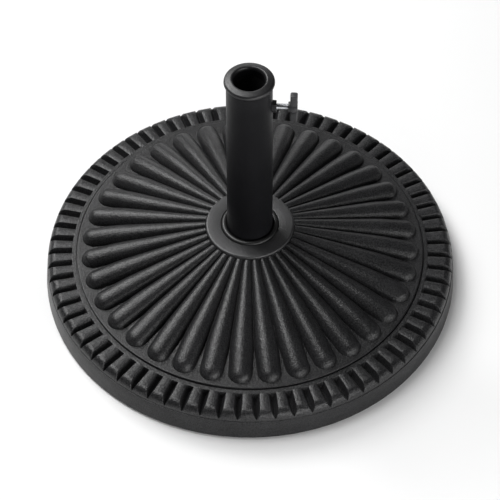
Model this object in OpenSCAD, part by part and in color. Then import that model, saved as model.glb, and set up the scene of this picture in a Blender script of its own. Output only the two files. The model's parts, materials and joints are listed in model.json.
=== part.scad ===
// Round weighted parasol base: a moulded cover with a sunburst of petals over a cast
// filling, a steel pole tube in a tapered sleeve, and a clamp screw with a T handle.
// Millimetres, +Z up. The origin is on the ground, on the axis of the pole tube.
// The clamp screw points along +X.

/* [Moulded cover] */
// Diameter of the cover's lower edge
base_d = 520; // [510:1:540]
// Height of the flat rim above the cover's lower edge
land_h = 40; // [38:0.5:42]
// Height of the smooth skirt below the ribbed shoulder
skirt_h = 27.5; // [26:0.5:29]
// Radius of the rounded shoulder above the skirt
shoulder_r = 11; // [8:0.5:12]
// Wall thickness of the cover
wall = 4; // [3:0.5:4.5]
// Height of the raised field with the petals above the flat rim
field_rise = 2.5; // [1:0.5:3]

/* [Petals and slots] */
// Number of raised petals
petal_count = 36; // [24:2:36]
// Radius of a petal at its outer end
petal_r = 14.8; // [12:0.2:15]
// Number of radial slots cut across the shoulder
slot_count = 72; // [36:4:72]
// Width of a slot at the top
slot_w = 9; // [6:0.5:10]

/* [Pole tube] */
// Diameter of the pole that the tube takes
pole_d = 35; // [32:1:35]
// Overall height above the lower edge of the cover
tube_top_h = 334.5; // [332:0.5:345]
// Outer diameter of the sleeve at its foot
sleeve_foot_d = 56.6; // [56:0.2:58]
// Outer diameter of the sleeve at its top
sleeve_top_d = 53; // [52.4:0.2:54]

/* [Clamp screw] */
// Height of the screw's axis above the lower edge of the cover
screw_h = 292; // [284:1:292]
// Nominal diameter of the screw
screw_d = 8; // [7:0.5:8]
// Length of the T handle's bar
handle_l = 40; // [30:1:44]

/* [Hidden] */

$fn = 96;
small_fn = 32;
// Overshoot of a cutting solid past the face it cuts
cut = 1;
// Gap left between two solids that only touch
gap = 0.2;

// The rubber feet lift the cover's lower edge off the ground by this much.
foot_h = 3;

base_r = base_d / 2;
field_r = base_r - 42;
field_h = land_h + field_rise;
field_edge_r = 1;
// Narrow groove at the foot of the step down from the field
quirk_w = 1.4;
quirk_depth = 1.2;
skirt_taper = 3.6;
ledge_w = 1;
crease_r = base_r - skirt_taper;
shoulder_out_r = crease_r - ledge_w;
shoulder_in_r = shoulder_out_r - shoulder_r;

// The floor under the petals rises as a cone from the field to the hub seat.
cone_out_r = base_r - 63;
hub_r = 55;
hub_seat_h = 74;
hub_top_h = 84.5;
hub_hole_r = 30;
hub_spigot_l = 14;
hub_edge_r = 2.5;
ring_spigot_l = 8;

petal_in_r = 50;
petal_in_h = 77.7;
petal_in_size = 4.4;
petal_knee_r = 166;
petal_knee_size = petal_r - 0.1;
petal_out_r = base_r - 62;
petal_out_h = 39.1;
petal_run = petal_out_r - petal_in_r;
petal_drop = petal_in_h - petal_out_h;
petal_l = sqrt(petal_run * petal_run + petal_drop * petal_drop);
petal_tilt = atan(petal_drop / petal_run);
petal_knee_l = (petal_knee_r - petal_in_r) / cos(petal_tilt);

slot_in_r = base_r - 35.6;
slot_floor_w = 0.8;
slot_floor_h = skirt_h + 3;
slot_depth = land_h - slot_floor_h;

// Underside of the cover
ceiling_h = slot_floor_h - wall;
ceiling_in_r = field_r - 1;
skirt_in_top_r = crease_r - wall - 0.4;
skirt_in_foot_r = base_r - wall - 0.3;

// Fastenings under the cover
plate_low_h = 1.5;
plate_t = 3;
plate_top_h = plate_low_h + plate_t;
plate_r = base_r - 5.5;
boss_count = 6;
boss_ring_r = base_r - 18;
boss_r = 7;
foot_ring_r = base_r - 40;
drain_r = 5;
ballast_low_h = plate_top_h + 1.5;
plate_screw_r = 2;
plate_screw_l = 15;
plate_screw_head_r = 4.5;
plate_screw_head_h = 2.4;
plate_screw_cross_w = 1;
plate_screw_cross_h = 1.4;
foot_r = 15;
foot_tread_r = 13;
foot_tread_h = 1.5;
foot_stem_r = 4;
foot_barb_r = 5;
foot_barb_h = 1.2;
// Play round a screw in the hole that guides it, and in the hole that it passes through
snug = 0.1;
loose = 0.6;

// Pole tube and its bolted foot
tube_in_r = pole_d / 2 + 0.5;
tube_wall = 2;
tube_out_r = tube_in_r + tube_wall;
flange_r = 58;
flange_t = 5;
flange_low_h = ballast_low_h + 8;
flange_top_h = flange_low_h + flange_t;
flange_pcd = 84;
bolt_count = 4;
bolt_r = 4;
bolt_l = 30;
bolt_head_h = 5.3;
washer_r = 8;
washer_t = 1.6;
insert_r = 7;
insert_l = 26;
insert_end_t = 2;
stop_r = 15;

// Tube sleeve and collar
sleeve_wall = 3;
sleeve_low_h = hub_seat_h + 4;
sleeve_seat_h = sleeve_low_h + 6;
collar_low_h = tube_top_h - 9.6;
collar_clear = 0.1;
lip_r = 3.6;
lip_mid_r = tube_in_r + 7.4;
lip_slope = 14;
lip_crest_r = tube_in_r + 3;
lip_drop = (lip_mid_r + lip_r * sin(lip_slope) - lip_crest_r) * tan(lip_slope);
lip_h = tube_top_h - lip_drop - lip_r * cos(lip_slope);
lip_start_a = -66;
lip_steps = 20;
mouth_depth = 4.5;
mouth_steps = 10;
throat_low_h = tube_top_h - 13.6;
lip_foot_r = sleeve_top_d / 2 + 0.2;
spigot_l = 14;
spigot_r = sleeve_top_d / 2 - sleeve_wall - 0.2;

// Bead at the foot of the sleeve
bead_seat_h = hub_top_h - 3.5;
bead_in_r = sleeve_foot_d / 2 + 0.3;
bead_r = 3.5;
bead_mid_r = bead_in_r + bead_r;
bead_mid_h = hub_top_h - 1.1;

// Clamp screw, drawn along +Z from the tube's axis and then laid along +X
screw_r = screw_d / 2;
nut_out_x = 30.8;
nut_across_flats = 13;
nut_circum_d = nut_across_flats / cos(30);
nut_pocket_x = tube_out_r + 2.5;
pad_r = 4.5;
pad_in_x = tube_in_r + 0.3;
pad_t = 3;
pad_socket = 1.3;
nib_r = 2;
// Play of a running fit, and of a fit that is glued or pressed
running = 0.06;
tight = 0.02;
handle_in_x = 46.3;
handle_out_x = 54.9;
handle_y = 9;
handle_end_r = 3;
handle_hub_r = 7.5;
handle_neck_r = 6.2;
handle_neck_l = 2;
screw_end_x = handle_out_x - 3;

// Places its children at the height of the cover's lower edge.
module on_feet() {
    translate([0, 0, foot_h]) children();
}

// Repeats its children round the axis at one radius.
module ring(count, radius, start = 0) {
    for (i = [0 : count - 1])
        rotate([0, 0, start + i * 360 / count]) translate([radius, 0, 0]) children();
}

// Turns a solid drawn along +Z so that it lies along the clamp screw.
module along_screw() {
    on_feet() translate([0, 0, screw_h]) rotate([0, 90, 0]) children();
}

// Half section of the cover's outside, without petals and slots
module cover_section() {
    polygon([
        [0, 0], [base_r, 0], [crease_r, skirt_h], [shoulder_out_r, skirt_h],
        [shoulder_out_r, land_h - shoulder_r], [shoulder_in_r, land_h - shoulder_r],
        [shoulder_in_r, land_h], [field_r + quirk_w, land_h],
        [field_r + quirk_w, land_h - quirk_depth], [field_r, land_h - quirk_depth],
        [field_r, field_h - field_edge_r],
        [field_r - field_edge_r, field_h - field_edge_r], [field_r - field_edge_r, field_h],
        [cone_out_r, field_h], [hub_r, hub_seat_h], [0, hub_seat_h]
    ]);
    translate([field_r - field_edge_r, field_h - field_edge_r]) circle(r = field_edge_r, $fn = small_fn);
    translate([shoulder_in_r, land_h - shoulder_r]) circle(r = shoulder_r);
}

// Half section of the hollow under the cover
module hollow_section(shrink = 0) {
    polygon([
        [0, -cut], [0, hub_seat_h - hub_spigot_l],
        [hub_hole_r + wall + shrink, hub_seat_h - hub_spigot_l],
        [hub_hole_r + wall + shrink, hub_seat_h - wall - shrink],
        [hub_r, hub_seat_h - wall - shrink], [cone_out_r - 2, field_h - wall - shrink],
        [ceiling_in_r - 2 - shrink, field_h - wall - shrink], [ceiling_in_r - shrink, ceiling_h - shrink],
        [skirt_in_top_r - shrink, ceiling_h - shrink], [skirt_in_foot_r - shrink, -cut]
    ]);
}

// One petal: a body of revolution that tapers towards the hub and ends in a ball
module petal() {
    translate([petal_in_r, 0, petal_in_h]) rotate([0, 90 + petal_tilt, 0]) {
        rotate_extrude() polygon([
            [0, 0], [petal_in_size, 0], [petal_knee_size, petal_knee_l],
            [petal_r, petal_l], [0, petal_l]
        ]);
        translate([0, 0, petal_l]) sphere(r = petal_r);
    }
}

// One slot: a steep V with a narrow floor that runs out through the shoulder
module slot_cutter() {
    half_top = slot_w / 2 + (slot_w - slot_floor_w) / 2 * cut / slot_depth;
    translate([slot_in_r, 0, slot_floor_h]) rotate([90, 0, 90])
        linear_extrude(height = base_r - slot_in_r + cut) polygon([
            [-slot_floor_w / 2, 0], [slot_floor_w / 2, 0],
            [half_top, slot_depth + cut], [-half_top, slot_depth + cut]
        ]);
}

module top_shell() {
    color([0.10, 0.10, 0.11]) on_feet() difference() {
        union() {
            difference() {
                union() {
                    rotate_extrude() cover_section();
                    ring(petal_count, 0) petal();
                }
                rotate_extrude() hollow_section();
            }
            ring(boss_count, boss_ring_r) translate([0, 0, plate_top_h])
                cylinder(r = boss_r, h = ceiling_h - plate_top_h + cut, $fn = small_fn);
        }
        translate([0, 0, hub_seat_h]) cylinder(r = hub_r + gap, h = hub_r);
        translate([0, 0, hub_seat_h - hub_spigot_l - cut]) cylinder(r = hub_hole_r, h = 2 * hub_spigot_l);
        ring(slot_count, 0) slot_cutter();
        ring(boss_count, boss_ring_r) translate([0, 0, plate_top_h - cut])
            cylinder(r = plate_screw_r + snug, h = plate_screw_l + cut, $fn = small_fn);
    }
}

module ballast() {
    color([0.55, 0.54, 0.52]) on_feet() difference() {
        rotate_extrude() intersection() {
            hollow_section(gap);
            translate([tube_out_r + gap, ballast_low_h]) square([base_r, hub_seat_h]);
        }
        translate([0, 0, ballast_low_h - cut])
            cylinder(r = flange_r + loose, h = flange_top_h - ballast_low_h + cut + gap);
        ring(bolt_count, flange_pcd / 2, 45) translate([0, 0, flange_top_h])
            cylinder(r = insert_r, h = insert_l + gap, $fn = small_fn);
        ring(boss_count, boss_ring_r) translate([0, 0, ballast_low_h - cut])
            cylinder(r = boss_r + gap, h = ceiling_h, $fn = small_fn);
    }
}

module bottom_plate() {
    color([0.12, 0.12, 0.12]) on_feet() translate([0, 0, plate_low_h]) difference() {
        cylinder(r = plate_r, h = plate_t);
        translate([0, 0, -cut]) cylinder(r = drain_r, h = plate_t + 2 * cut, $fn = small_fn);
        ring(boss_count, boss_ring_r) translate([0, 0, -cut])
            cylinder(r = plate_screw_r + loose, h = plate_t + 2 * cut, $fn = small_fn);
        ring(boss_count, foot_ring_r, 30) translate([0, 0, -cut])
            cylinder(r = foot_stem_r + snug, h = plate_t + 2 * cut, $fn = small_fn);
    }
}

module plate_screws() {
    head_low_h = plate_low_h - plate_screw_head_h;
    color([0.72, 0.73, 0.75]) on_feet() ring(boss_count, boss_ring_r) difference() {
        union() {
            translate([0, 0, head_low_h])
                cylinder(r = plate_screw_head_r, h = plate_screw_head_h, $fn = small_fn);
            translate([0, 0, plate_low_h - cut])
                cylinder(r = plate_screw_r, h = plate_screw_l, $fn = small_fn);
        }
        translate([0, 0, head_low_h]) for (turn = [0, 90]) rotate([0, 0, turn])
            cube([plate_screw_head_r, plate_screw_cross_w, 2 * plate_screw_cross_h], center = true);
    }
}

module rubber_feet() {
    color([0.08, 0.08, 0.08]) ring(boss_count, foot_ring_r, 30) {
        cylinder(r = foot_tread_r, h = foot_tread_h, $fn = small_fn);
        translate([0, 0, foot_tread_h])
            cylinder(r = foot_r, h = foot_h + plate_low_h - foot_tread_h, $fn = small_fn);
        translate([0, 0, foot_h]) cylinder(r = foot_stem_r, h = plate_top_h, $fn = small_fn);
        translate([0, 0, foot_h + plate_top_h]) cylinder(r = foot_barb_r, h = foot_barb_h, $fn = small_fn);
    }
}

module pole_tube() {
    color([0.2, 0.2, 0.21]) difference() {
        on_feet() translate([0, 0, flange_top_h])
            cylinder(r = tube_out_r, h = throat_low_h - flange_top_h - gap);
        on_feet() translate([0, 0, flange_top_h - cut]) cylinder(r = tube_in_r, h = tube_top_h);
        along_screw() cylinder(r = pad_r + 0.5, h = tube_out_r + cut, $fn = small_fn);
    }
}

module foot_flange() {
    color([0.35, 0.35, 0.36]) on_feet() translate([0, 0, flange_low_h]) difference() {
        cylinder(r = flange_r, h = flange_t);
        translate([0, 0, -cut]) cylinder(r = stop_r, h = flange_t + 2 * cut, $fn = small_fn);
        ring(bolt_count, flange_pcd / 2, 45) translate([0, 0, -cut])
            cylinder(r = bolt_r + 2 * snug, h = flange_t + 2 * cut, $fn = small_fn);
    }
}

module flange_bolts() {
    head_top_h = flange_low_h - washer_t;
    color([0.7, 0.71, 0.73]) on_feet() ring(bolt_count, flange_pcd / 2, 45) {
        translate([0, 0, head_top_h - bolt_head_h]) cylinder(d = nut_circum_d, h = bolt_head_h, $fn = 6);
        translate([0, 0, head_top_h - cut]) cylinder(r = bolt_r, h = bolt_l + cut, $fn = small_fn);
    }
}

module flange_washers() {
    color([0.75, 0.76, 0.78]) on_feet() ring(bolt_count, flange_pcd / 2, 45)
        translate([0, 0, flange_low_h - washer_t]) difference() {
            cylinder(r = washer_r, h = washer_t, $fn = small_fn);
            translate([0, 0, -cut]) cylinder(r = bolt_r + snug, h = washer_t + 2 * cut, $fn = small_fn);
        }
}

module flange_inserts() {
    color([0.72, 0.6, 0.3]) on_feet() ring(bolt_count, flange_pcd / 2, 45)
        translate([0, 0, flange_top_h]) difference() {
            cylinder(r = insert_r - gap / 2, h = insert_l, $fn = small_fn);
            translate([0, 0, -cut])
                cylinder(r = bolt_r + running, h = insert_l + cut - insert_end_t, $fn = small_fn);
        }
}

module tube_sleeve() {
    low_r = sleeve_foot_d / 2;
    top_r = sleeve_top_d / 2;
    top_h = collar_low_h - gap / 2;
    color([0.09, 0.09, 0.10]) difference() {
        on_feet() rotate_extrude() polygon([
            [tube_out_r + gap, sleeve_low_h], [low_r, sleeve_low_h], [top_r, top_h],
            [top_r - sleeve_wall, top_h], [low_r - sleeve_wall, sleeve_seat_h],
            [tube_out_r + gap, sleeve_seat_h]
        ]);
        along_screw() cylinder(d = nut_circum_d + loose, h = low_r + cut, $fn = 6);
    }
}

module hub_ring() {
    bore_r = tube_out_r + gap;
    bead_seat_r = bead_mid_r + bead_r + 2 * gap;
    color([0.11, 0.11, 0.12]) on_feet() rotate_extrude() difference() {
        union() {
            translate([bore_r, hub_seat_h + gap / 2])
                square([hub_r - bore_r, hub_top_h - hub_seat_h - hub_edge_r - gap / 2]);
            translate([bore_r, hub_top_h - hub_edge_r - cut])
                square([hub_r - hub_edge_r - bore_r, hub_edge_r + cut]);
            translate([hub_r - hub_edge_r, hub_top_h - hub_edge_r]) circle(r = hub_edge_r);
            translate([bore_r, hub_seat_h - ring_spigot_l])
                square([hub_hole_r - gap - bore_r, ring_spigot_l + cut]);
        }
        translate([0, sleeve_low_h - gap]) square([sleeve_foot_d / 2 + gap, hub_top_h]);
        translate([0, bead_seat_h - gap]) square([bead_seat_r, hub_top_h]);
    }
}

module foot_bead() {
    color([0.10, 0.10, 0.10]) on_feet() rotate_extrude() {
        translate([bead_in_r, bead_seat_h]) square([2 * bead_r, bead_mid_h - bead_seat_h]);
        intersection() {
            translate([bead_mid_r, bead_mid_h]) circle(r = bead_r);
            translate([bead_in_r, bead_seat_h]) square(2 * bead_r);
        }
    }
}

// Points along the lip's rounded edge, from its underside to the sloping top
function lip_point(share) = let (a = lip_start_a + (90 - lip_slope - lip_start_a) * share)
    [lip_mid_r + lip_r * cos(a), lip_h + lip_r * sin(a)];

// Points along the bell mouth, from the crest down to the bore
function mouth_point(share) = [
    lip_crest_r - (lip_crest_r - tube_in_r) * sin(90 * share),
    tube_top_h - mouth_depth * (1 - cos(90 * share))
];

module top_collar() {
    color([0.10, 0.10, 0.11]) on_feet() rotate_extrude() polygon(concat(
        [[tube_in_r, throat_low_h], [tube_out_r + collar_clear, throat_low_h],
         [tube_out_r + collar_clear, collar_low_h - spigot_l], [spigot_r, collar_low_h - spigot_l],
         [spigot_r, collar_low_h], [lip_foot_r, collar_low_h]],
        [for (i = [0 : lip_steps]) lip_point(i / lip_steps)],
        [for (i = [0 : mouth_steps]) mouth_point(i / mouth_steps)]
    ));
}

module screw_nut() {
    color([0.78, 0.79, 0.80]) difference() {
        along_screw() cylinder(d = nut_circum_d, h = nut_out_x, $fn = 6);
        on_feet() translate([0, 0, screw_h - nut_circum_d]) cylinder(r = tube_out_r, h = 2 * nut_circum_d);
        along_screw() cylinder(r = screw_r + running, h = nut_out_x + cut, $fn = small_fn);
        along_screw() cylinder(r = pad_r + 0.5, h = nut_pocket_x, $fn = small_fn);
    }
}

// The pole stands on this plug, which fills the hole in the flange.
module pole_stop() {
    color([0.15, 0.15, 0.15]) on_feet() translate([0, 0, flange_low_h]) difference() {
        cylinder(r = stop_r - snug, h = flange_t - snug);
        translate([0, 0, -cut]) cylinder(r = drain_r, h = flange_t + 2 * cut, $fn = small_fn);
    }
}

module pressure_pad() {
    color([0.13, 0.13, 0.13]) along_screw() translate([0, 0, pad_in_x]) difference() {
        cylinder(r = pad_r, h = pad_t, $fn = small_fn);
        translate([0, 0, pad_t - pad_socket])
            cylinder(r = nib_r + running, h = pad_socket + cut, $fn = small_fn);
    }
}

module clamp_screw() {
    pad_out_x = pad_in_x + pad_t;
    shank_x = pad_out_x + gap;
    nib_x = pad_out_x - pad_socket + snug;
    color([0.80, 0.81, 0.82]) along_screw() {
        translate([0, 0, nib_x]) cylinder(r = nib_r, h = shank_x - nib_x + cut, $fn = small_fn);
        translate([0, 0, shank_x]) cylinder(r = screw_r, h = screw_end_x - shank_x, $fn = small_fn);
    }
}

module clamp_handle() {
    bar_x = handle_out_x - handle_in_x;
    half_l = handle_l / 2 - handle_end_r;
    half_y = handle_y / 2 - handle_end_r;
    bore_low = -handle_neck_l - cut;
    color([0.08, 0.08, 0.08]) along_screw() translate([0, 0, handle_in_x]) difference() {
        union() {
            for (x = [-half_l, half_l], y = [-half_y, half_y])
                translate([x, y, 0]) cylinder(r = handle_end_r, h = bar_x, $fn = small_fn);
            translate([-half_l - handle_end_r, -half_y, 0]) cube([handle_l, 2 * half_y, bar_x]);
            translate([-half_l, -handle_y / 2, 0]) cube([2 * half_l, handle_y, bar_x]);
            cylinder(r = handle_hub_r, h = bar_x);
            translate([0, 0, -handle_neck_l]) cylinder(r = handle_neck_r, h = handle_neck_l + cut);
        }
        translate([0, 0, bore_low])
            cylinder(r = screw_r + tight, h = screw_end_x - handle_in_x - bore_low, $fn = small_fn);
    }
}

top_shell();
ballast();
bottom_plate();
plate_screws();
rubber_feet();
pole_tube();
foot_flange();
flange_bolts();
flange_washers();
flange_inserts();
tube_sleeve();
hub_ring();
foot_bead();
top_collar();
screw_nut();
pole_stop();
pressure_pad();
clamp_screw();
clamp_handle();
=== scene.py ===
import json
import math

import bmesh
import bpy
import numpy as np
from mathutils import Matrix, Vector


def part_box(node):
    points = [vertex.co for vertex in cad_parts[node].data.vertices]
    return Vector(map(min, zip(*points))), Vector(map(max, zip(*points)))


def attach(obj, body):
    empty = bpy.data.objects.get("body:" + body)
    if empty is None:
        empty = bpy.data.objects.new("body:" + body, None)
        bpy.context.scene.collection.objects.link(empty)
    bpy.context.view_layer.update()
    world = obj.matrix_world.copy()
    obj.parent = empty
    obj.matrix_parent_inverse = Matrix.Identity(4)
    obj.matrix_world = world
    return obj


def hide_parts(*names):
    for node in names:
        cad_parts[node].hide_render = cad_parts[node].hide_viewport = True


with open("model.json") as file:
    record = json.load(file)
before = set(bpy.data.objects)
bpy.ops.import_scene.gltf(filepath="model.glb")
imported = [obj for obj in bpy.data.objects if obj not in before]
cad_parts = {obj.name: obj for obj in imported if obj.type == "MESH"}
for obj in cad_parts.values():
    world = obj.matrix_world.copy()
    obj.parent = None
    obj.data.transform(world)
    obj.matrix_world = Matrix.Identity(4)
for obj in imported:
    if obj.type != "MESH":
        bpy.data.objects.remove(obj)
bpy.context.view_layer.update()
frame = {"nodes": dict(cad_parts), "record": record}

MM = 0.001
TAU = 2 * math.pi


# ---------------------------------------------------------------- places from the frame, in millimetres

def node_box(node):
    """Lowest and highest corner of a CAD node, in millimetres."""
    low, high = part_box(node)
    return [v / MM for v in low], [v / MM for v in high]


COVER_LOW, COVER_HIGH = node_box("top_shell")
HUB_LOW, HUB_HIGH = node_box("hub_ring")
BEAD_LOW, BEAD_HIGH = node_box("foot_bead")
SLEEVE_LOW, SLEEVE_HIGH = node_box("tube_sleeve")
COLLAR_LOW, COLLAR_HIGH = node_box("top_collar")
SCREW_LOW, SCREW_HIGH = node_box("clamp_screw")
HANDLE_LOW, HANDLE_HIGH = node_box("clamp_handle")
TUBE_R = node_box("pole_tube")[1][0]
NUT_OUT_X = node_box("screw_nut")[1][0]
SOCKET = next(m for m in frame["record"]["mounts"] if m["name"] == "pole_socket")
SOCKET_R = SOCKET["dims"]["r_mm"]

BASE_Z = COVER_LOW[2]
BASE_R = COVER_HIGH[0]
SCREW_Z = (SCREW_LOW[2] + SCREW_HIGH[2]) / 2
SCREW_R = SCREW_HIGH[1]

# The tapered sleeve's radius at its upper end, and how far up the collar's foot is painted in the sleeve's
# darker, duller plastic as painted shade under the lip
SLEEVE_TOP_R = 26.5
LIP_UNDERSIDE_SHADE = 1.8

# Length of the handle's collar towards the stem
HANDLE_COLLAR = 2

# The moulded cover's section, as in the CAD model, above its lower edge
LAND_Z = BASE_Z + 40
SKIRT_Z = BASE_Z + 27.5
CREASE_R = BASE_R - 3.6
SHOULDER_R = 11
SHOULDER_OUT_R = CREASE_R - 1
SHOULDER_IN_R = SHOULDER_OUT_R - SHOULDER_R
WALL = 4
HUB_R = HUB_HIGH[0]
HUB_SEAT_Z = BASE_Z + 74
HUB_LAP = 0.5
HUB_HOLE_R = 30
HUB_HOLE_DEPTH = 14
FIELD_R = BASE_R - 42
FIELD_Z = LAND_Z + 2.5
FIELD_EDGE = 1
QUIRK_R = FIELD_R + 1.4
QUIRK_Z = LAND_Z - 1.2
CONE_OUT_R = BASE_R - 63
CEILING_Z = BASE_Z + 26.5
PETALS = 36
PETAL_IN_R = 50
PETAL_IN_Z = BASE_Z + 77.7
PETAL_OUT_R = BASE_R - 62
PETAL_OUT_Z = BASE_Z + 39.1
PETAL_SIZE = 14.8
PETAL_IN_SIZE = 4.4
KNEE_R = 166
KNEE_SIZE = 14.7
KNEE_BLEND = 12
PETAL_ROWS = 46
TIP_ROWS = 13
PETAL_TILT = math.atan2(PETAL_IN_Z - PETAL_OUT_Z, PETAL_OUT_R - PETAL_IN_R)
PETAL_LENGTH = math.hypot(PETAL_OUT_R - PETAL_IN_R, PETAL_IN_Z - PETAL_OUT_Z)
SLOT_IN_R = BASE_R - 35.6
SLOT_HALF = 4.5
SLOT_FLOOR_HALF = 0.4
SLOT_DEPTH = 9.5
SLOT_END_SLOPE = 4.2
SLOT_BLEND = 0.9
SLOT_BLEND_LIFT = 0.12


# ---------------------------------------------------------------- mesh helpers

def finish_piece(name, verts, faces, body, replaced=(), sharp_angle=38):
    """A smooth-shaded mesh object, in place, riding on its body."""
    mesh = bpy.data.meshes.new(name)
    mesh.from_pydata([tuple(v) for v in (np.asarray(verts) * MM).tolist()], [], faces)
    work = bmesh.new()
    work.from_mesh(mesh)
    bmesh.ops.remove_doubles(work, verts=work.verts, dist=1e-7)
    bmesh.ops.dissolve_degenerate(work, edges=work.edges, dist=1e-8)
    bmesh.ops.recalc_face_normals(work, faces=work.faces)
    work.to_mesh(mesh)
    work.free()
    mesh.polygons.foreach_set("use_smooth", [True] * len(mesh.polygons))
    mesh.set_sharp_from_angle(angle=math.radians(sharp_angle))
    piece = bpy.data.objects.new(name, mesh)
    bpy.context.scene.collection.objects.link(piece)
    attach(piece, body)
    if replaced:
        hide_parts(*replaced)
    return piece


def grid_faces(rows, columns, close_rows=False, close_columns=True):
    """Quads of a grid whose points are numbered row by row."""
    faces = []
    for i in range(rows if close_rows else rows - 1):
        a, b = i * columns, (i + 1) % rows * columns
        for j in range(columns if close_columns else columns - 1):
            k = (j + 1) % columns
            faces.append((a + j, a + k, b + k, b + j))
    return faces


def arc(centre, radius, start, end, steps, stretch=1.0):
    """Points along a circular arc, angles in degrees. stretch scales its height."""
    angles = np.radians(np.linspace(start, end, steps + 1))
    return [(centre[0] + radius * math.cos(a), centre[1] + stretch * radius * math.sin(a)) for a in angles]


def revolve(profile, segments=160):
    """Points and faces of a closed (radius, height) section turned about Z."""
    angles = np.arange(segments) * TAU / segments
    verts = [(r * math.cos(a), r * math.sin(a), z) for r, z in profile for a in angles]
    return verts, grid_faces(len(profile), segments, close_rows=True)


def lay_along_screw(verts):
    """Turns points drawn along +Z from the tube's axis so that they lie along the clamp screw."""
    return [(z, -y, SCREW_Z + x) for x, y, z in verts]


# ---------------------------------------------------------------- the moulded cover

# Columns across half a petal's sector, from its middle line to the line between two petals
SLOT_SIDE = [0, 0.75, 1.6, 2.6, 3.6, 4.2, 4.55, 5.1]
HALF_COLUMNS = 2 * len(SLOT_SIDE)
PETAL_COLUMNS = 11
HALF_ANGLE = math.pi / PETALS
VALLEY_ANGLE = HALF_ANGLE * 0.985


def petal_size(along):
    """Radius of a petal at a distance along its axis, with the knee rounded."""
    knee = (KNEE_R - PETAL_IN_R) / math.cos(PETAL_TILT)
    inner = (KNEE_SIZE - PETAL_IN_SIZE) / knee
    outer = (PETAL_SIZE - KNEE_SIZE) / (PETAL_LENGTH - knee)
    size = PETAL_IN_SIZE + inner * along
    past = along - knee + KNEE_BLEND
    if past > 2 * KNEE_BLEND:
        return KNEE_SIZE + outer * (along - knee)
    if past > 0:
        size += (outer - inner) * past * past / (4 * KNEE_BLEND)
    return size


def floor_height(radius):
    """Height of the surface between the petals."""
    share = (CONE_OUT_R - radius) / (CONE_OUT_R - HUB_R)
    return FIELD_Z + (HUB_SEAT_Z - FIELD_Z) * min(max(share, 0), 1)


def petal_point(along, size, turn):
    """A point on a petal whose middle line lies over the X axis."""
    up = size * math.cos(turn)
    return (
        PETAL_IN_R + along * math.cos(PETAL_TILT) + up * math.sin(PETAL_TILT),
        size * math.sin(turn),
        PETAL_IN_Z - along * math.sin(PETAL_TILT) + up * math.cos(PETAL_TILT),
    )


def petal_edge_turn(along, size):
    """Angle round a petal's axis at which its surface meets the floor or the next petal."""
    low, high = 0.0, math.radians(100)
    for _ in range(30):
        middle = (low + high) / 2
        x, y, z = petal_point(along, size, middle)
        if z > floor_height(math.hypot(x, y)) and math.atan2(y, x) < VALLEY_ANGLE:
            low = middle
        else:
            high = middle
    return low


def petal_row(along, size):
    """Half a sector's points across one petal and the valley beside it."""
    edge = petal_edge_turn(along, size)
    row = [petal_point(along, size, edge * (j / PETAL_COLUMNS) ** 0.9) for j in range(PETAL_COLUMNS + 1)]
    x, y, z = row[-1]
    radius, start = math.hypot(x, y), math.atan2(y, x)
    valley = HALF_COLUMNS - 1 - PETAL_COLUMNS
    for j in range(1, valley + 1):
        angle = start + (HALF_ANGLE - start) * j / valley
        row.append((radius * math.cos(angle), radius * math.sin(angle), z))
    return row


def petal_rows():
    """Rows from the hub to the petals' round ends."""
    first = (HUB_R - HUB_LAP - PETAL_IN_R) / math.cos(PETAL_TILT)
    rows = [petal_row(along, petal_size(along)) for along in np.linspace(first, PETAL_LENGTH, PETAL_ROWS)]
    tip = math.acos((FIELD_Z - PETAL_OUT_Z) / PETAL_SIZE) - PETAL_TILT
    for share in np.linspace(0, 1, TIP_ROWS)[1:]:
        angle = tip * math.sin(share * math.pi / 2)
        rows.append(petal_row(PETAL_LENGTH + PETAL_SIZE * math.sin(angle), PETAL_SIZE * math.cos(angle)))
    return rows


def soft_max(a, b, radius):
    """The larger of two heights, blended where they are close."""
    gap = a - b
    return (a + b + math.sqrt(gap * gap + radius * radius)) / 2


def slot_drop(side, radius):
    """How far a slot's surface lies below the land, from its middle line outwards."""
    slope = SLOT_DEPTH / (SLOT_HALF - SLOT_FLOOR_HALF)
    across = min(slope * (SLOT_HALF - side), SLOT_DEPTH)
    end = min(SLOT_END_SLOPE * (radius - SLOT_IN_R), SLOT_DEPTH)
    return max(soft_max(min(across, end), 0, SLOT_BLEND) - SLOT_BLEND_LIFT, 0)


def rim_row(radius, height, slots=True):
    """Half a sector's points at one radius of the rim, with a slot at each side."""
    row = []
    for j in range(HALF_COLUMNS):
        near = j < len(SLOT_SIDE)
        side = SLOT_SIDE[j if near else HALF_COLUMNS - 1 - j]
        angle = math.asin(side / radius)
        angle = angle if near else HALF_ANGLE - angle
        z = height
        if slots:
            z = min(height, LAND_Z - slot_drop(side, radius))
        row.append((radius * math.cos(angle), radius * math.sin(angle), z))
    return row


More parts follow.
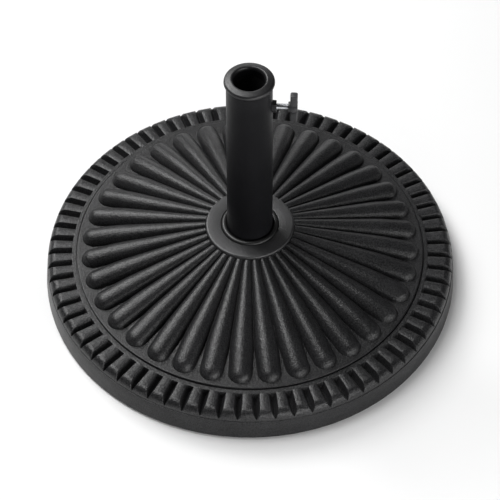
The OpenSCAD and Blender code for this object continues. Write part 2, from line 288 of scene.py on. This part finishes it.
def rim_rows():
    """Rows from the petals' ends over the field's edge, the slots and the shoulder to the lower edge."""
    rows = [rim_row(r, FIELD_Z, False) for r in (PETAL_OUT_R + PETAL_SIZE + 1, FIELD_R - FIELD_EDGE - 1.5)]
    edge = arc((FIELD_R - FIELD_EDGE, FIELD_Z - FIELD_EDGE), FIELD_EDGE, 90, 0, 6)
    foot = [(FIELD_R, QUIRK_Z + 0.1), (FIELD_R + 0.1, QUIRK_Z), (QUIRK_R - 0.1, QUIRK_Z)]
    foot += [(QUIRK_R, QUIRK_Z + 0.1), (QUIRK_R, LAND_Z - 0.2), (QUIRK_R + 0.2, LAND_Z)]
    rows += [rim_row(r, z, False) for r, z in edge + foot]
    for offset in (-4, -1.2, -0.4, 0, 0.25, 0.6, 1.2, 1.8, 2.3, 2.8, 4.5, 9, 14, 17):
        rows.append(rim_row(SLOT_IN_R + offset, LAND_Z))
    for angle in np.radians(np.linspace(90, 0, 21)):
        radius = SHOULDER_IN_R + SHOULDER_R * math.cos(angle)
        rows.append(rim_row(radius, LAND_Z - SHOULDER_R * (1 - math.sin(angle))))
    skirt = [(SHOULDER_OUT_R + 0.05, SKIRT_Z + 0.25), (SHOULDER_OUT_R + 0.25, SKIRT_Z)]
    skirt += [(CREASE_R - 0.35, SKIRT_Z), (CREASE_R - 0.08, SKIRT_Z - 0.12)]
    skirt += [(CREASE_R + 0.05, SKIRT_Z - 0.5)]
    skirt += [(CREASE_R + 1.2, SKIRT_Z - 9), (CREASE_R + 2.4, SKIRT_Z - 18)]
    skirt += [(BASE_R - 0.15, BASE_Z + 1.2), (BASE_R - 0.1, BASE_Z + 0.5), (BASE_R - 0.5, BASE_Z)]
    rows += [rim_row(r, z, False) for r, z in skirt]
    return rows


def underside_rows():
    """Rows of the hollow under the cover, from the lower edge back to the hub."""
    section = [
        (BASE_R - WALL, BASE_Z), (BASE_R - WALL - 0.3, BASE_Z + 0.4), (CREASE_R - WALL - 0.4, CEILING_Z),
        (FIELD_R - 1, CEILING_Z), (FIELD_R - 3, FIELD_Z - WALL), (CONE_OUT_R - 2, FIELD_Z - WALL),
        (HUB_R, HUB_SEAT_Z - WALL), (HUB_HOLE_R + WALL, HUB_SEAT_Z - WALL),
        (HUB_HOLE_R + WALL, HUB_SEAT_Z - HUB_HOLE_DEPTH), (HUB_HOLE_R, HUB_SEAT_Z - HUB_HOLE_DEPTH),
        (HUB_HOLE_R, HUB_SEAT_Z), (HUB_R - HUB_LAP, HUB_SEAT_Z),
    ]
    return [rim_row(r, z, False) for r, z in section]


def make_cover():
    """The whole cover as one closed grid: section rows times columns round the axis."""
    rows = petal_rows() + rim_rows() + underside_rows()
    half = np.array(rows)
    mirrored = half[:, -2:0:-1] * np.array([1, -1, 1])
    # The mirrored half lies beyond the line between two petals, so it's turned into the next sector.
    turn = 2 * HALF_ANGLE
    turned = mirrored.copy()
    turned[..., 0] = mirrored[..., 0] * math.cos(turn) - mirrored[..., 1] * math.sin(turn)
    turned[..., 1] = mirrored[..., 0] * math.sin(turn) + mirrored[..., 1] * math.cos(turn)
    sector = np.concatenate([half, turned], axis=1)
    blocks = []
    for k in range(PETALS):
        c, s = math.cos(k * turn), math.sin(k * turn)
        x = sector[..., 0] * c - sector[..., 1] * s
        y = sector[..., 0] * s + sector[..., 1] * c
        blocks.append(np.stack([x, y, sector[..., 2]], axis=-1))
    points = np.concatenate(blocks, axis=1)
    faces = grid_faces(points.shape[0], points.shape[1], close_rows=True)
    return finish_piece("cover", points.reshape(-1, 3), faces, "base", ["top_shell"], 40)


# ---------------------------------------------------------------- hub, bead, sleeve and collar

def make_hub_ring():
    """The hub disc: a round outer edge, a seat for the bead and one for the sleeve, and a spigot below."""
    gap, bead_gap, edge_r, inner_edge_r = 0.2, 0.5, 2.5, 0.5
    top, foot = HUB_HIGH[2], HUB_SEAT_Z + 0.1
    bore, spigot_r = TUBE_R + gap, HUB_HOLE_R - gap
    sleeve_seat, sleeve_seat_r = SLEEVE_LOW[2] - gap, SLEEVE_HIGH[0] + gap
    bead_seat, bead_seat_r = BEAD_LOW[2] - gap, bead_gap - BEAD_LOW[0]
    section = [(bore, HUB_LOW[2]), (spigot_r, HUB_LOW[2]), (spigot_r, foot), (HUB_R, foot)]
    section += arc((HUB_R - edge_r, top - edge_r), edge_r, 0, 90, 8)
    section += arc((bead_seat_r + inner_edge_r, top - inner_edge_r), inner_edge_r, 90, 180, 4)
    section += [(bead_seat_r, bead_seat), (sleeve_seat_r, bead_seat), (sleeve_seat_r, sleeve_seat),
                (bore, sleeve_seat)]
    verts, faces = revolve(section)
    return finish_piece("hub_disc", verts, faces, "base", ["hub_ring"])


def make_bead():
    """The round bead on its flat foot."""
    outer = BEAD_HIGH[0]
    size = 3.5
    centre = (outer - size, BEAD_HIGH[2] - size)
    section = [(outer - 2 * size, BEAD_LOW[2]), (outer, BEAD_LOW[2])] + arc(centre, size, 0, 180, 16)
    verts, faces = revolve(section)
    return finish_piece("bead_ring", verts, faces, "base", ["foot_bead"])


def make_collar():
    """The rolled lip: a sloping top with a round edge on a thin collar, and a bell mouth inside."""
    low, top = SLEEVE_HIGH[2] + 0.05, COLLAR_HIGH[2]
    lip_r, lip_start, slope = 3.6, -66, 14
    crest_r, crest_drop, mouth_depth, throat_depth = SOCKET_R + 3, 0.22, 4.5, 13.6
    foot_r, foot_edge, spigot_r = SLEEVE_TOP_R + 0.2, 0.1, SLEEVE_TOP_R - 3.2
    tube_seat_r = TUBE_R + 0.1
    tilt = math.radians(slope)
    lip_mid_r = COLLAR_HIGH[0] - lip_r
    drop = (lip_mid_r + lip_r * math.sin(tilt) - crest_r) * math.tan(tilt)
    lip_z = top - drop - lip_r * math.cos(tilt)
    throat_low = top - throat_depth
    section = [(SOCKET_R, throat_low), (tube_seat_r, throat_low), (tube_seat_r, COLLAR_LOW[2])]
    section += [(spigot_r, COLLAR_LOW[2]), (spigot_r, low)]
    section += [(foot_r - foot_edge, low), (foot_r, low + foot_edge)]
    section += arc((lip_mid_r, lip_z), lip_r, lip_start, 90 - slope, 32) + [(crest_r + 1, top - crest_drop)]
    section += [(crest_r - (crest_r - SOCKET_R) * math.sin(a), top - mouth_depth * (1 - math.cos(a)))
                for a in np.radians(np.linspace(0, 90, 14))]
    verts, faces = revolve(section, 192)
    return finish_piece("lip_collar", verts, faces, "base", ["top_collar"])


# ---------------------------------------------------------------- clamp: nut, screw and handle

def make_nut():
    """A hexagon nut with chamfered corners, its inner end saddled to the tube."""
    flat, chamfer_r, hole, hole_edge = 6.5, 6.9, SCREW_R + 0.06, 0.6
    chamfer_slope = math.tan(math.radians(30))
    columns = 96
    rows = [[] for _ in range(6)]
    for j in range(columns):
        a = TAU * j / columns
        c, s = math.cos(a), math.sin(a)
        hexagon = flat / math.cos((a + math.pi / 6) % (math.pi / 3) - math.pi / 6)
        rim = min(hexagon, chamfer_r)
        drop = max(hexagon - chamfer_r, 0) * chamfer_slope
        saddle = math.sqrt(TUBE_R ** 2 - (hexagon * s) ** 2)
        hole_saddle = math.sqrt(TUBE_R ** 2 - (hole * s) ** 2)
        rows[0].append((hole * c, hole * s, hole_saddle))
        rows[1].append((hole * c, hole * s, NUT_OUT_X - hole_edge))
        rows[2].append(((hole + hole_edge) * c, (hole + hole_edge) * s, NUT_OUT_X))
        rows[3].append((rim * c, rim * s, NUT_OUT_X))
        rows[4].append((hexagon * c, hexagon * s, NUT_OUT_X - drop))
        rows[5].append((hexagon * c, hexagon * s, saddle))
    verts = lay_along_screw([v for row in rows for v in row])
    faces = grid_faces(len(rows), columns, close_rows=True)
    return finish_piece("clamp_nut", verts, faces, "base", ["screw_nut"], 25)


def make_screw():
    """The clamp screw: a plain nib, then a real helical thread that swells to its full size."""
    pitch, depth = 1.25, 0.62
    nib_r, nib_edge, nib_length = 2.0, 0.3, 1.3
    taper, taper_length = 0.5, 1.0
    flank, crest = 3.0, 1.25
    columns, step = 48, 0.125
    tip, end = SCREW_LOW[0], SCREW_HIGH[0]
    start = tip + nib_length
    rows = [[(0.0, 0.0, tip)] * columns]
    for x, r in ((tip, nib_r - nib_edge), (tip + nib_edge, nib_r), (start, nib_r)):
        rows.append([(r * math.cos(a), r * math.sin(a), x) for a in np.arange(columns) * TAU / columns])
    for x in np.arange(start, end + 1e-6, step):
        swell = min((x - start) / taper_length, 1)
        row = []
        for j in range(columns):
            a = TAU * j / columns
            phase = (x / pitch - j / columns) % 1
            tooth = min(max(crest - abs(phase - 0.5) * flank, 0), 1)
            r = SCREW_R - depth * (1 - tooth) - taper * (1 - swell)
            row.append((r * math.cos(a), r * math.sin(a), x))
        rows.append(row)
    rows.append([(0.0, 0.0, end)] * columns)
    verts = lay_along_screw([v for row in rows for v in row])
    faces = grid_faces(len(rows), columns)
    return finish_piece("threaded_stem", verts, faces, "screw", ["clamp_screw"], 60)


def loft(rings):
    """A closed skin over rings of points, capped at both ends."""
    count = len(rings[0])
    verts = [v for ring in rings for v in ring]
    faces = grid_faces(len(rings), count)
    faces.append(tuple(range(count))[::-1])
    faces.append(tuple((len(rings) - 1) * count + j for j in range(count)))
    return verts, faces


def make_handle_bar():
    """The T handle's bar: rounded edges, closed ends and a swelling at the hub."""
    in_x, out_x = HANDLE_LOW[0] + HANDLE_COLLAR, HANDLE_HIGH[0]
    length = HANDLE_HIGH[2] - HANDLE_LOW[2]
    middle = (in_x + out_x) / 2
    thick, wide, swelling, swelling_reach = 4.2, 4.4, 0.9, 7.5
    squareness = 0.42
    end_start, end_length = 0.93, 0.07
    ends = [0.97, 0.992, 1]
    rings = []
    for t in np.concatenate([[-t for t in ends[::-1]], np.linspace(-end_start, end_start, 31), ends]):
        z = t * length / 2
        hub = math.exp(-(z / swelling_reach) ** 2)
        close = math.sqrt(max(1 - max((abs(t) - end_start) / end_length, 0) ** 2, 0.0))
        half_x = thick * (0.8 + 0.2 * close)
        half_y = (wide + swelling * hub) * (0.75 + 0.25 * close)
        ring = []
        for a in np.arange(40) * TAU / 40:
            c, s = math.cos(a), math.sin(a)
            ring.append((z, half_y * math.copysign(abs(s) ** squareness, s),
                         middle + half_x * math.copysign(abs(c) ** squareness, c)))
        rings.append(ring)
    verts, faces = loft(rings)
    verts = lay_along_screw(verts)
    return finish_piece("t_handle", verts, faces, "screw", ["clamp_handle"], 50)


def make_handle_hub():
    """The T handle's hub: a collar towards the stem, a wider boss, and a dished outer end."""
    in_x, out_x = HANDLE_LOW[0] + HANDLE_COLLAR, HANDLE_HIGH[0]
    bore, stem_end = SCREW_R + 0.02, SCREW_HIGH[0] + 0.05
    boss_r, boss_edge, collar_r, collar_edge = 7.5, 1.0, 5.7, 0.5
    dish_r, dish_depth, centre_r = 3.0, 0.7, 0.02
    section = [(bore, in_x - HANDLE_COLLAR), (5.6, in_x - HANDLE_COLLAR)]
    section += arc((collar_r, in_x - 1.5), collar_edge, 270, 360, 3)
    section += [(6.3, in_x + 0.4), (7.1, in_x + 1.4), (boss_r, in_x + 2.4), (boss_r, out_x - boss_edge)]
    section += arc((boss_r - boss_edge, out_x - boss_edge), boss_edge, 0, 90, 4)
    section += [(dish_r, out_x), (2.2, out_x - dish_depth), (centre_r, out_x - dish_depth)]
    section += [(centre_r, stem_end), (bore, stem_end)]
    verts, faces = revolve(section, 64)
    return finish_piece("handle_hub", lay_along_screw(verts), faces, "screw")


# ---------------------------------------------------------------- materials

def new_material(name):
    material = bpy.data.materials.new(name)
    material.use_nodes = True
    tree = material.node_tree
    return material, tree, tree.nodes["Principled BSDF"]


def add(tree, kind, inputs=(), **settings):
    """A shader node with its settings and its input values or links."""
    node = tree.nodes.new(kind)
    for key, value in settings.items():
        setattr(node, key, value)
    for key, value in dict(inputs).items():
        if isinstance(value, bpy.types.NodeSocket):
            tree.links.new(value, node.inputs[key])
        else:
            node.inputs[key].default_value = value
    return node


def ramp(tree, source, stops):
    """A colour ramp over a factor: stops are (position, grey or colour)."""
    node = add(tree, "ShaderNodeValToRGB", {"Fac": source})
    elements = node.color_ramp.elements
    while len(elements) < len(stops):
        elements.new(0.5)
    for element, (position, colour) in zip(elements, stops):
        element.position = position
        element.color = (colour, colour, colour, 1) if isinstance(colour, (int, float)) else (*colour, 1)
    return node.outputs["Color"]


def moulded_plastic(name, colour, roughness, grain=0.0015, grain_depth=0.00012, speckle=0.2,
                    gleam=0.5, smooth_below=None):
    """Black moulded plastic: pebbled grain, uneven gloss and paler rubbed edges.

    Lengths are in metres. gleam is the specular level, and below smooth_below the grain and the gleam fade.
    """
    material, tree, shader = new_material(name)
    place = add(tree, "ShaderNodeTexCoord").outputs["Object"]
    fine = add(tree, "ShaderNodeTexNoise", {
        "Vector": place, "Scale": 1.3 / grain, "Detail": 3, "Roughness": 0.6,
    })
    pebble = add(tree, "ShaderNodeTexVoronoi", {"Vector": place, "Scale": 1 / grain}, feature="SMOOTH_F1")
    broad = add(tree, "ShaderNodeTexNoise", {"Vector": place, "Scale": 22, "Detail": 6, "Roughness": 0.6})
    cloud = add(tree, "ShaderNodeTexNoise", {"Vector": place, "Scale": 120, "Detail": 4, "Roughness": 0.7})
    edge = add(tree, "ShaderNodeNewGeometry").outputs["Pointiness"]
    rubbed = ramp(tree, edge, [(0.50, 0.0), (0.56, 0.5)])
    patchy = add(tree, "ShaderNodeMath", {0: rubbed, 1: cloud.outputs["Fac"]}, operation="MULTIPLY")
    shader.inputs["Specular IOR Level"].default_value = gleam
    dark = tuple(c * 0.75 for c in colour)
    light = tuple(c * 1.25 for c in colour)
    base = ramp(tree, broad.outputs["Fac"], [(0.3, dark), (0.7, light)])
    pale = tuple(min(c * 2.5 + 0.006, 1) for c in colour)
    mixed = add(tree, "ShaderNodeMix", {"Factor": patchy.outputs[0], "A": base, "B": (*pale, 1)},
                data_type="RGBA")
    speck = ramp(tree, fine.outputs["Fac"], [(0.40, 1 - speckle), (0.60, 1.0)])
    tree.links.new(speck, shader.inputs["Specular Tint"])
    tinted = add(tree, "ShaderNodeMix", {"Factor": 1.0, "A": mixed.outputs["Result"], "B": speck},
                 data_type="RGBA", blend_type="MULTIPLY")
    tree.links.new(tinted.outputs["Result"], shader.inputs["Base Color"])
    gloss = add(tree, "ShaderNodeMapRange", {
        "Value": cloud.outputs["Fac"], "From Min": 0.25, "From Max": 0.75,
        "To Min": roughness - 0.05, "To Max": roughness + 0.05,
    })
    tree.links.new(gloss.outputs["Result"], shader.inputs["Roughness"])
    height = add(tree, "ShaderNodeMath", {0: fine.outputs["Fac"], 1: pebble.outputs["Distance"]},
                 operation="ADD")
    bump = add(tree, "ShaderNodeBump", {
        "Height": height.outputs[0], "Distance": grain_depth, "Strength": 1.0,
    })
    if smooth_below is not None:
        level = add(tree, "ShaderNodeSeparateXYZ", {"Vector": place}).outputs["Z"]
        grained = add(tree, "ShaderNodeMapRange", {
            "Value": level, "From Min": smooth_below - MM, "From Max": smooth_below + MM,
            "To Min": 0.06, "To Max": 1.0,
        })
        tree.links.new(grained.outputs["Result"], bump.inputs["Strength"])
        shine = add(tree, "ShaderNodeMapRange", {
            "Value": grained.outputs["Result"], "To Min": 0.6 * gleam, "To Max": gleam,
        })
        tree.links.new(shine.outputs["Result"], shader.inputs["Specular IOR Level"])
    tree.links.new(bump.outputs["Normal"], shader.inputs["Normal"])
    return material


def bright_zinc(name, colour=(0.62, 0.63, 0.65), roughness=0.26):
    """Zinc-plated steel: soft spangle and fine turning marks."""
    material, tree, shader = new_material(name)
    place = add(tree, "ShaderNodeTexCoord").outputs["Object"]
    spangle = add(tree, "ShaderNodeTexVoronoi", {"Vector": place, "Scale": 700})
    marks = add(tree, "ShaderNodeTexNoise", {"Vector": place, "Scale": 2500, "Detail": 2})
    tone = ramp(tree, spangle.outputs["Color"], [(0.0, tuple(c * 0.8 for c in colour)), (1.0, colour)])
    tree.links.new(tone, shader.inputs["Base Color"])
    gloss = add(tree, "ShaderNodeMapRange", {
        "Value": marks.outputs["Fac"], "To Min": roughness - 0.06, "To Max": roughness + 0.12,
    })
    tree.links.new(gloss.outputs["Result"], shader.inputs["Roughness"])
    bump = add(tree, "ShaderNodeBump", {
        "Height": marks.outputs["Fac"], "Distance": 0.00003, "Strength": 0.5,
    })
    tree.links.new(bump.outputs["Normal"], shader.inputs["Normal"])
    shader.inputs["Metallic"].default_value = 1.0
    return material


def cast_cement(name):
    """Pale cast filling with pores and grit."""
    material, tree, shader = new_material(name)
    place = add(tree, "ShaderNodeTexCoord").outputs["Object"]
    grit = add(tree, "ShaderNodeTexNoise", {"Vector": place, "Scale": 260, "Detail": 8, "Roughness": 0.7})
    pores = add(tree, "ShaderNodeTexVoronoi", {"Vector": place, "Scale": 180})
    tone = ramp(tree, grit.outputs["Fac"], [(0.3, (0.26, 0.25, 0.235)), (0.7, (0.46, 0.45, 0.42))])
    tree.links.new(tone, shader.inputs["Base Color"])
    height = add(tree, "ShaderNodeMath", {0: grit.outputs["Fac"], 1: pores.outputs["Distance"]},
                 operation="ADD")
    bump = add(tree, "ShaderNodeBump", {"Height": height.outputs[0], "Distance": 0.0008, "Strength": 0.8})
    tree.links.new(bump.outputs["Normal"], shader.inputs["Normal"])
    shader.inputs["Roughness"].default_value = 0.9
    return material


def paint(piece, material, low_material=None, low_z=0):
    """Gives a piece its material, and another one to the faces below a height in millimetres."""
    piece.data.materials.clear()
    piece.data.materials.append(material)
    if low_material:
        piece.data.materials.append(low_material)
        for face in piece.data.polygons:
            if face.center.z < low_z * MM:
                face.material_index = 1


# ---------------------------------------------------------------- stage, light and camera

def make_floor(material):
    """A flat grid on the ground, well past the camera's view."""
    half, count = 6.0, 24
    steps = np.linspace(-half, half, count + 1)
    verts = [(x, y, 0.0) for y in steps for x in steps]
    faces = grid_faces(count + 1, count + 1, close_columns=False)
    mesh = bpy.data.meshes.new("floor")
    mesh.from_pydata(verts, [], faces)
    floor = bpy.data.objects.new("floor", mesh)
    bpy.context.scene.collection.objects.link(floor)
    floor.data.materials.append(material)
    return floor


def pale_floor(name):
    material, tree, shader = new_material(name)
    place = add(tree, "ShaderNodeTexCoord").outputs["Object"]
    grain = add(tree, "ShaderNodeTexNoise", {"Vector": place, "Scale": 3, "Detail": 3})
    tone = ramp(tree, grain.outputs["Fac"], [(0.0, 0.92), (1.0, 0.94)])
    tree.links.new(tone, shader.inputs["Base Color"])
    shader.inputs["Roughness"].default_value = 0.9
    return material


def add_light(name, place, target, size, power):
    data = bpy.data.lights.new(name, "AREA")
    data.shape = "RECTANGLE"
    data.size = data.size_y = size
    data.energy = power
    light = bpy.data.objects.new(name, data)
    light.location = place
    aim = Vector(target) - Vector(place)
    light.rotation_euler = aim.to_track_quat("-Z", "Y").to_euler()
    bpy.context.scene.collection.objects.link(light)
    return light


# Azimuth from +X, elevation, distance, side of the square lamp in metres, and power
LIGHTS = {
    "key": (135, 45, 3.0, 1.4, 62),
    "top": (165, 70, 3.0, 1.4, 48),
    "back": (90, 18, 3.0, 1.4, 9),
    "fill": (315, 18, 3.0, 1.4, 28),
    "low_fill": (288, 12, 1.0, 0.45, 2.6),
    "right": (340, 10, 3.0, 1.0, 7),
}


def make_lights():
    """A faint even world and the square lamps, all aimed at the object's middle."""
    target = (0, 0, 0.1)
    world = bpy.data.worlds.new("studio")
    world.use_nodes = True
    background = world.node_tree.nodes["Background"]
    background.inputs["Color"].default_value = (1, 1, 1, 1)
    background.inputs["Strength"].default_value = 0.02
    bpy.context.scene.world = world
    for name, (azimuth, elevation, distance, size, power) in LIGHTS.items():
        turn, rise = math.radians(azimuth), math.radians(elevation)
        level = distance * math.cos(rise)
        place = (level * math.cos(turn), level * math.sin(turn), distance * math.sin(rise))
        add_light(name, place, target, size, power)


def make_camera():
    """A long lens from the front, slightly to the right, looking down at the object."""
    azimuth = math.radians(3.5)
    elevation = math.radians(50.8)
    distance = 1.966
    target = Vector((0, 0, 0.0346))
    roll = math.radians(-0.25)
    data = bpy.data.cameras.new("camera")
    data.sensor_width = 36
    data.lens = 111.6
    data.clip_end = 20
    camera = bpy.data.objects.new("camera", data)
    level = math.cos(elevation)
    toward = Vector((math.sin(azimuth) * level, -math.cos(azimuth) * level, math.sin(elevation)))
    aim = (-toward).to_track_quat("-Z", "Y").to_matrix()
    camera.matrix_world = Matrix.Translation(target + toward * distance) @ (
        aim @ Matrix.Rotation(roll, 3, "Z")).to_4x4()
    bpy.context.scene.collection.objects.link(camera)
    bpy.context.scene.camera = camera


# ---------------------------------------------------------------- the object

cover_plastic = moulded_plastic("cover_plastic", (0.018, 0.018, 0.019), 0.37, grain=0.0019,
                                grain_depth=0.00028, speckle=0.6, smooth_below=SKIRT_Z * MM)
hub_plastic = moulded_plastic("hub_plastic", (0.020, 0.020, 0.021), 0.40, grain_depth=0.00015, gleam=0.75)
sleeve_plastic = moulded_plastic("sleeve_plastic", (0.006, 0.006, 0.007), 0.42,
                                 grain_depth=0.00006, gleam=0.12)
lip_plastic = moulded_plastic("lip_plastic", (0.010, 0.010, 0.011), 0.42, grain_depth=0.0001, gleam=0.6)
handle_plastic = moulded_plastic("handle_plastic", (0.030, 0.030, 0.032), 0.45, grain_depth=0.00006)
plate_plastic = moulded_plastic("plate_plastic", (0.030, 0.030, 0.030), 0.55)
black_rubber = moulded_plastic("black_rubber", (0.012, 0.012, 0.012), 0.40, grain_depth=0.00005)
black_steel = moulded_plastic("black_steel", (0.012, 0.012, 0.013), 0.35, grain=0.0008, grain_depth=0.00002)
zinc = bright_zinc("zinc")
brass = bright_zinc("brass", (0.70, 0.52, 0.25), 0.35)
cement = cast_cement("cement")

paint(make_cover(), cover_plastic)
paint(make_hub_ring(), hub_plastic)
paint(make_bead(), black_rubber)
# The collar's lowest faces get the sleeve plastic: painted shade under the lip, not a second colour of the
# collar
paint(make_collar(), lip_plastic, sleeve_plastic, SLEEVE_HIGH[2] + LIP_UNDERSIDE_SHADE)
paint(make_nut(), black_steel)
paint(make_screw(), zinc)
paint(make_handle_bar(), handle_plastic)
paint(make_handle_hub(), handle_plastic)

CAD_MATERIALS = {
    "ballast": cement, "bottom_plate": plate_plastic, "plate_screws": zinc, "rubber_feet": black_rubber,
    "pole_tube": black_steel, "foot_flange": black_steel, "flange_bolts": zinc, "flange_washers": zinc,
    "flange_inserts": brass, "tube_sleeve": sleeve_plastic, "pole_stop": plate_plastic,
    "pressure_pad": plate_plastic,
}
for node_name, node_material in CAD_MATERIALS.items():
    paint(frame["nodes"][node_name], node_material)

make_floor(pale_floor("pale_floor"))
make_lights()
make_camera()
bpy.context.scene.view_settings.view_transform = "Standard"
